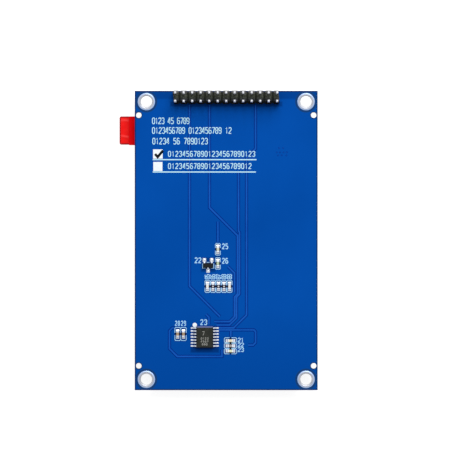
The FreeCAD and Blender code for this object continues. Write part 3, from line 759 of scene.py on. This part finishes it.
for name in upright_chips + lying_chips:
    chip_finish = finish("glaze_of_" + name, chip_tones[name], glaze_grain, 0.4)
    tree, base, glaze = colour_of(chip_finish)
    place = axes(tree)
    centre = middle(name)
    along, centre_along = ("Y", centre.y) if name in upright_chips else ("X", centre.x)
    off = distance(tree, place[along], centre_along)
    metal = compute(tree, "GREATER_THAN", off, chip_half - chip_end)
    if chip_tones[name] is dark_glaze:
        farthest = compute(tree, "MAXIMUM", distance(tree, place["X"], centre.x), off)
        on_mark = compute(tree, "LESS_THAN", farthest, chip_mark_half)
        glaze = blend(tree, on_mark, glaze, srgb(chip_mark_tone))
    tin = drift(tree, solder_tones, chip_end_grain)
    tree.links.new(blend(tree, metal, glaze, tin), base)
    shader = tree.nodes["Principled BSDF"]
    tree.links.new(compute(tree, "MULTIPLY", metal, chip_end_metallic), shader.inputs["Metallic"])
    dress(name, chip_finish)


# Dark spots under the chips. A low dark mound under each chip's middle shows on both of its sides.
chip_middle_spot_tones = ((8, 10, 20), (20, 18, 26))
spot_height = 0.03 * mm
spot_half = (0.83 * mm, 0.36 * mm)

spots = []
for name in upright_chips + lying_chips:
    half = spot_half if name in upright_chips else spot_half[::-1]
    spots.append(mound(middle(name)[:2], *half, board_high.z, spot_height, square=2.6))
chip_spot_finish = finish("dark_chip_spot", chip_middle_spot_tones, 0.4 * mm, 0.6, specular=0.1)
place_piece("chip_middle_spots", gather(spots), chip_spot_finish)


# The print. White epoxy ink, screened on the mask: rows of plain numbers, two boxes with rules under
# them, an outline round each chip, a number beside it, and a dot at the controller's first lead. The
# tick in the upper box is dark.
box_ink_tones = ((240, 248, 255), (250, 254, 255))
row_ink_tones = ((182, 231, 251), (207, 247, 255))
small_ink_tones = ((158, 210, 255), (186, 234, 255))
tick_ink_tones = ((4, 8, 12), (14, 20, 26))
ink_grain = 0.6 * mm
ink_height = 0.042 * mm
ink_base = board_high.z - 0.002 * mm
small_ink_top = 15 * mm
# The width of each kind of line at its foot and on its top.
line_width = (0.2 * mm, 0.16 * mm)
rule_width = (0.35 * mm, 0.315 * mm)
row_width = (0.25 * mm, 0.21 * mm)
label_width = (0.28 * mm, 0.24 * mm)
small_width = (0.24 * mm, 0.2 * mm)
tick_width = (0.8 * mm, 0.76 * mm)
tick_rise = 0.02 * mm
# The rows: numerals, lower left corner, pitch and height in mm. All rows' numerals are equally wide.
row_numeral_width = 1.155
number_rows = [
    ("0123 45 6789", -22.2, 35.1, 0.94, 1.75),
    ("0123456789 0123456789 12", -22.2, 32.2, 1.0, 1.75),
    ("01234 56 7890123", -22.1, 29.0, 1.05, 1.75),
    ("012345678901234567890123", -17.4, 25.28, 1.1, 1.52),
    ("01234567890123456789012", -17.4, 21.6, 1.1, 1.54),
]
# The boxes' centres and sizes, the rules' ends and the tick's points, in mm.
boxes = [(-20.55, 26.0, 2.9, 2.8), (-20.55, 22.25, 2.75, 2.75)]
box_slope = 0.02 * mm
rules = [[(-22.1, 24.3), (9.1, 24.3)], [(-22.1, 20.6), (8.9, 20.6)]]
tick = [(-21.4, 26.02), (-20.6, 25.12), (-19.0, 27.05)]
first_lead_dot = (-9.45 * mm, -25.4 * mm)
dot_radius = 0.68 * mm
# The labels: numerals, lower left corner in mm, and the large ones' pitch in mm.
label_height = 1.47 * mm
label_numeral_share = 0.68
labels = [
    ("25", -1.14, -2.5, 1.0),
    ("26", -1.14, -6.85, 1.0),
    ("22", -9.37, -6.7, 1.1),
    ("23", -7.7, -25.32, 1.15),
]
slim_labels = [("28", -15.3, -25.55), ("29", -13.5, -25.55)]
slim_label_height = 1.32 * mm
slim_label_pitch = 0.84 * mm
slim_label_share = 0.56
stack_labels = [("21", 3.55, -30.5), ("22", 3.55, -31.95), ("23", 3.55, -33.4)]
stack_label_height = 1.15 * mm
stack_label_pitch = 0.95 * mm
bank_labels = ["85", "86", "87", "88", "89"]
bank_label_height = 1.3 * mm
bank_label_pitch = 0.72 * mm
bank_label_share = 0.74
bank_label_corner = (-0.7 * mm, -11.55 * mm)
# The outlines round the chips: width, length and the gap at the middle of their long sides, in mm.
resistor_outline = (1.5, 3.5, 0.8)
bank_outline = (1.5, 3.62, 0.75)
capacitor_outline = (1.66, 3.95, 0.7)
stack_outline = (1.46, 3.7, 0.6)
stack_outline_shifts = (0.14 * mm, 0.0, -0.14 * mm)
outline_corner = 0.25
regulator_outline = [
    [(-7.1, -6.9), (-7.1, -8.32), (-6.2, -8.32)],
    [(-3.75, -6.9), (-3.75, -8.32), (-4.65, -8.32)],
    [(-5.85, -6.58), (-5.05, -6.58)],
]


def cup(left, right, shut, open_end):
    """Half of a chip's outline: open at one end, with cut corners at the other."""
    step = outline_corner if shut > open_end else -outline_corner
    return [(left, open_end), (left, shut - step), (left + outline_corner, shut),
            (right - outline_corner, shut), (right, shut - step), (right, open_end)]


def outline(centre, across, along, gap, lying=False):
    """Both halves of a chip's outline, in mm; those of a lying chip have their X and Y exchanged."""
    x, y = (centre.y / mm, centre.x / mm) if lying else (centre.x / mm, centre.y / mm)
    halves = [cup(x - across / 2, x + across / 2, y + side * along / 2, y + side * gap / 2)
              for side in (1, -1)]
    return [[(second, first) for first, second in half] for half in halves] if lying else halves


fine_lines = []
for names, sizes in ((resistors, resistor_outline), (bank_chips, bank_outline),
                     (capacitors, capacitor_outline)):
    for name in names:
        fine_lines += outline(middle(name), *sizes)
for name, shift in zip(lying_chips, stack_outline_shifts):
    fine_lines += outline(middle(name) + Vector((0, shift, 0)), *stack_outline, lying=True)
fine_lines += regulator_outline

row_strokes, label_strokes, small_strokes = [], [], []
for text, x, y, pitch, height in number_rows:
    width_share = row_numeral_width / height
    row_strokes += numerals(text, (x * mm, y * mm), height * mm, pitch * mm, width_share)
for text, x, y, pitch in labels:
    width_share = pitch * label_numeral_share
    label_strokes += numerals(text, (x * mm, y * mm), label_height, pitch * mm, width_share)
for text, x, y in slim_labels:
    small_strokes += numerals(text, (x * mm, y * mm), slim_label_height, slim_label_pitch, slim_label_share)
for text, x, y in stack_labels:
    small_strokes += numerals(text, (x * mm, y * mm), stack_label_height, stack_label_pitch)
for text, name in zip(bank_labels, bank_chips):
    corner = (middle(name).x + bank_label_corner[0], bank_label_corner[1])
    small_strokes += numerals(text, corner, bank_label_height, bank_label_pitch, bank_label_share,
                              upwards=True)

thin_ink = finish("white_ink_thin", row_ink_tones, ink_grain, 0.5, specular=0.2)
tree, base, row_ink = colour_of(thin_ink)
in_rows = compute(tree, "GREATER_THAN", axes(tree)["Y"], small_ink_top)
tree.links.new(blend(tree, in_rows, drift(tree, small_ink_tones, ink_grain), row_ink), base)
fine_parts = []
for routes, width in ((row_strokes, row_width), (label_strokes, label_width), (small_strokes, small_width),
                      ([np.array(line) * mm for line in fine_lines], line_width),
                      ([np.array(rule) * mm for rule in rules], rule_width)):
    section = flat_ribbon(*width, ink_base, ink_height)
    fine_parts += [ridge(route, section) for route in routes]
place_piece("fine_print", gather(fine_parts), thin_ink)

box_ink = finish("white_ink", box_ink_tones, ink_grain, 0.5, specular=0.2)
solid_parts = [block((x * mm, y * mm), (width * mm, height * mm), ink_base, ink_height, box_slope)
               for x, y, width, height in boxes]
solid_parts.append(mound(first_lead_dot, dot_radius, dot_radius, ink_base, ink_height, sides=32, rings=3))
place_piece("white_print", gather(solid_parts), box_ink)

tick_ink = finish("dark_ink", tick_ink_tones, ink_grain, 0.6, specular=0.05)
tick_section = flat_ribbon(*tick_width, board_high.z, ink_height + tick_rise)
place_piece("tick_print", ridge(np.array(tick) * mm, tick_section), tick_ink)


# The pull tab. Red polyester film, laid under the clear film and folded back on itself at its free
# end, where it is a little puffed and creased from handling.
tab_single_tones = ((252, 6, 14), (255, 10, 20))
tab_fold_tones = ((248, 24, 24), (255, 36, 32))
tab_fold_grain = 1.6 * mm
# Painted shade: a darker rim along the edges of the folded part.
tab_rim = 0.42 * mm
tab_rim_tone = (176, 34, 36)
tab_low, tab_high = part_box("pull_tab")
film_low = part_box("protective_film")[0]
fold_x = tab_low.x + 2.85 * mm
film_thickness = 0.1 * mm
film_slope = 0.03 * mm
tab_corner = 0.55 * mm
tab_step = 0.16 * mm
tongue_narrower = 0.75 * mm
tongue_start = board_low.x + 0.1 * mm
puff_height = 0.144 * mm
puff_reach = 1.3 * mm
corner_columns, fold_columns, free_columns, tongue_columns = 7, 22, 20, 6
tab_rows = 41
# The creases that stand up from the fold: both ends in mm, width and height.
tab_creases = [
    ((-31.6, 31.5), (-29.6, 30.9), 0.28 * mm, 0.12 * mm),
    ((-31.4, 36.3), (-29.9, 36.1), 0.3 * mm, 0.12 * mm),
    ((-31.5, 33.4), (-29.8, 34.6), 0.4 * mm, -0.04 * mm),
]
# The paler lines along the creases: Y at the tab's end and slope.
pale_crease_lines = ((36.3 * mm, 0.0), (31.75 * mm, -0.16))
pale_line_half = 0.55 * mm
pale_line_tone = (255, 66, 64)
pale_line_share = 0.85


def crease(x, y, start, end, width, height):
    """A ridge along a line: a bell curve across it, faded out beyond both of its ends."""
    start, end = np.array(start) * mm, np.array(end) * mm
    length = np.linalg.norm(end - start)
    along = (end - start) / length
    reach = (x - start[0]) * along[0] + (y - start[1]) * along[1]
    off = -(x - start[0]) * along[1] + (y - start[1]) * along[0]
    fade = 1 / (1 + np.exp(-reach / width)) / (1 + np.exp((reach - length) / width))
    return height * np.exp(-(off / width) ** 2) * fade


def tab_film():
    """The tab as a closed sheet: columns along X, each a loop over its top and back under it.

    Its two free corners are quarter circles. The fold is puffed up by 1 - s^6 from side to side, and
    along X by the square root of the product of the distances from its end and from its inner edge,
    up to 1. The creases are added to that.
    """
    rounded = tab_low.x + tab_corner * (1 - np.cos(np.linspace(0, np.pi / 2, corner_columns)))
    straight = np.linspace(tab_low.x + tab_corner, fold_x, fold_columns)[1:]
    folded = np.concatenate([rounded, straight])
    free = np.linspace(fold_x + film_slope, film_low.x, free_columns)
    tongue = np.linspace(film_low.x + film_slope, tab_high.x, tongue_columns)
    x = np.concatenate([folded, free, tongue])
    top = film_thickness * np.repeat([2, 1, 0.5], [len(folded), free_columns, tongue_columns])
    in_corner = np.clip(tab_corner - (x - tab_low.x), 0, tab_corner)
    inset = tab_corner - np.sqrt(tab_corner ** 2 - in_corner ** 2)
    low = tab_low.y + inset + np.where(np.arange(len(x)) < len(folded), tab_step, 0)
    high = tab_high.y - inset - np.where(x > tongue_start, tongue_narrower, 0)
    share = (1 - np.cos(np.linspace(0, np.pi, tab_rows))) / 2
    across = low[:, None] + (high - low)[:, None] * share[None, :]
    down = np.broadcast_to(x[:, None], across.shape)
    puff = puff_height * (1 - (2 * share - 1) ** 6)[None, :]
    loose = np.clip(x - tab_low.x, 0, None) * np.clip(fold_x - x, 0, None) / puff_reach ** 2
    loose = np.clip(loose, 0, 1)[:, None]
    lift = puff * np.sqrt(loose) + loose * sum(crease(down, across, *line) for line in tab_creases)
    upper = np.stack([down, across, top[:, None] + lift], axis=2)
    lower = np.stack([down, across, np.zeros_like(across)], axis=2)[:, ::-1]
    loops = np.concatenate([upper, lower], axis=1)
    rows, columns = loops.shape[:2]
    points = loops.reshape(-1, 3)
    faces = weave(rows, columns, False, True).tolist()
    faces.append(list(range(columns)))
    faces.append(list(range(len(points) - 1, len(points) - 1 - columns, -1)))
    return points, faces


tab_red = finish("red_film", tab_single_tones, 3 * mm, 0.45, specular=0.03)
tree, base, single = colour_of(tab_red)
place = axes(tree)
double = drift(tree, tab_fold_tones, tab_fold_grain)
from_end = compute(tree, "SUBTRACT", place["X"], tab_low.x)
# Paler lines follow the creases on the folded part.
for level, slope in pale_crease_lines:
    line = compute(tree, "ADD", compute(tree, "MULTIPLY", from_end, slope), level)
    on_pale_line = rescale(tree, distance(tree, place["Y"], line), pale_line_half, 0, 0, pale_line_share,
                   interpolation_type="SMOOTHSTEP")
    double = blend(tree, on_pale_line, double, srgb(pale_line_tone))
from_sides = compute(tree, "MINIMUM", compute(tree, "SUBTRACT", tab_high.y, place["Y"]),
                     compute(tree, "SUBTRACT", place["Y"], tab_low.y + tab_step))
# Painted shade along the folded part's edges.
on_rim = compute(tree, "LESS_THAN", compute(tree, "MINIMUM", from_end, from_sides), tab_rim)
double = blend(tree, on_rim, double, srgb(tab_rim_tone))
on_fold = compute(tree, "LESS_THAN", place["X"], fold_x)
tree.links.new(blend(tree, on_fold, single, double), base)
tab = place_piece("pull_tab_film", tab_film(), tab_red)
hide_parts("pull_tab")


# The clear layers on the face: the peel-off film, then the touch panel's film and its glass. All are
# thin, clear and glossy, and one shows the next through it.
peel_film_tones = ((236, 242, 246), (250, 252, 252))
touch_film_tones = ((238, 240, 236), (248, 250, 246))
glass_tones = ((232, 244, 240), (244, 250, 248))


def clear_finish(name, tones, grain, roughness, index):
    """A clear finish: light goes through, tinted a little unevenly."""
    material = finish(name, tones, grain, roughness)
    shader = material.node_tree.nodes["Principled BSDF"]
    shader.inputs["Transmission Weight"].default_value = 1
    shader.inputs["IOR"].default_value = index
    return material


dress("protective_film", clear_finish("peel_film", peel_film_tones, 12 * mm, 0.08, 1.3))
dress("touch_film", clear_finish("touch_polyester", touch_film_tones, 15 * mm, 0.05, 1.35))
glass = clear_finish("thin_glass", glass_tones, 18 * mm, 0.02, 1.45)
for name in ("touch_glass", "front_glass", "rear_glass"):
    dress(name, glass)


# The touch panel's border. A milky adhesive joins film and glass round the window, with printed silver
# bars along it that lead to the narrow tail. Black foam tape fixes the panel to the display's frame.
adhesive_tones = ((172, 176, 176), (192, 196, 196))
silver_tones = ((168, 168, 164), (198, 198, 194))
window_half = (22.6 * mm, 29.8 * mm)
bar_start, bar_end = 0.35 * mm, 0.8 * mm
window_y = middle("front_polariser").y
foam_tones = ((14, 14, 15), (26, 26, 28))
foam_relief = (0.02 * mm, 0.15 * mm)

spacer_finish = finish("milky_adhesive", adhesive_tones, 4 * mm, 0.5)
tree, base, milky = colour_of(spacer_finish)
place = axes(tree)
beyond_x = compute(tree, "SUBTRACT", compute(tree, "ABSOLUTE", place["X"]), window_half[0])
beyond_y = compute(tree, "SUBTRACT", distance(tree, place["Y"], window_y), window_half[1])
on_bar = between(tree, compute(tree, "MAXIMUM", beyond_x, beyond_y), bar_start, bar_end)
silver = drift(tree, silver_tones, 0.8 * mm)
tree.links.new(blend(tree, on_bar, milky, silver), base)
dress("touch_spacer", spacer_finish)
black_foam = finish("black_foam_tape", foam_tones, 0.6 * mm, 0.85, specular=0.2)
roughen(black_foam.node_tree, *foam_relief)
dress("panel_adhesive", black_foam)


# The display cell. Two glasses hold the liquid crystal between crossed polarisers, which look almost
# black while the display is off; the bare driver chip sits on the ledge of the rear glass.
polariser_tones = ((6, 6, 8), (11, 11, 14))
polariser_grain = 25 * mm
active_half = (21.6 * mm, 28.8 * mm)
active_tones = ((24, 26, 32), (32, 34, 42))
silicon_tones = ((58, 60, 66), (78, 80, 86))

polariser_finish = finish("polariser", polariser_tones, polariser_grain, 0.16, specular=0.5)
tree, base, border = colour_of(polariser_finish)
place = axes(tree)
in_x = compute(tree, "LESS_THAN", compute(tree, "ABSOLUTE", place["X"]), active_half[0])
in_y = compute(tree, "LESS_THAN", distance(tree, place["Y"], window_y), active_half[1])
active = drift(tree, active_tones, polariser_grain)
tree.links.new(blend(tree, compute(tree, "MULTIPLY", in_x, in_y), border, active), base)
dress("front_polariser", polariser_finish)
dress("rear_polariser", polariser_finish)
dress("driver_chip", finish("bare_silicon", silicon_tones, 3 * mm, 0.2, metallic=0.5))


# The backlight. A moulded white frame holds the loose optical sheets, an acrylic light guide with a
# silver reflector behind it, and a narrow strip with four small lamps at the lower end.
frame_tones = ((222, 224, 224), (238, 240, 240))
sheet_tones = ((226, 228, 230), (244, 246, 246))
guide_tones = ((244, 248, 248), (252, 252, 252))
reflector_tones = ((196, 198, 200), (220, 222, 224))
lamp_tones = ((236, 236, 228), (248, 246, 236))

dress("backlight_frame", finish("white_moulding", frame_tones, 5 * mm, 0.5))
sheet_white = finish("frosted_sheet", sheet_tones, 8 * mm, 0.6)
for name in ("prism_sheet_front", "prism_sheet_rear", "diffuser_sheet"):
    dress(name, sheet_white)
dress("light_guide", clear_finish("clear_acrylic", guide_tones, 15 * mm, 0.05, 1.49))
dress("reflector_sheet", finish("silver_sheet", reflector_tones, 9 * mm, 0.35, metallic=0.8))
lamp_white = finish("lamp_moulding", lamp_tones, 0.8 * mm, 0.45)
for number in range(1, 5):
    dress("backlight_led_%d" % number, lamp_white)


# The tails and tapes. The tails are amber polyimide with fine copper lines, folded back under the
# panel to the board; two strips of grey foam tape fix the panel to the board.
amber_tones = ((150, 84, 20), (186, 112, 34))
copper_tones = ((196, 128, 74), (214, 150, 96))
line_pitch = 0.8 * mm
line_share = 0.45
tape_tones = ((168, 170, 172), (188, 190, 192))
tape_relief = (0.02 * mm, 0.2 * mm)

amber_finish = finish("amber_film", amber_tones, 3 * mm, 0.35)
tree, base, amber = colour_of(amber_finish)
phase = compute(tree, "FRACT", compute(tree, "DIVIDE", axes(tree)["X"], line_pitch))
on_line = compute(tree, "LESS_THAN", phase, line_share)
tree.links.new(blend(tree, on_line, amber, drift(tree, copper_tones, 2 * mm)), base)
for name in ("display_tail", "touch_tail", "led_strip"):
    dress(name, amber_finish)
grey_foam = finish("grey_foam_tape", tape_tones, 0.8 * mm, 0.9, specular=0.2)
roughen(grey_foam.node_tree, *tape_relief)
dress("foam_tape_left", grey_foam)
dress("foam_tape_right", grey_foam)


look_low, look_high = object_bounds()
sizes = {"cad": [list(cad_low), list(cad_high)], "visual": [list(look_low), list(look_high)]}
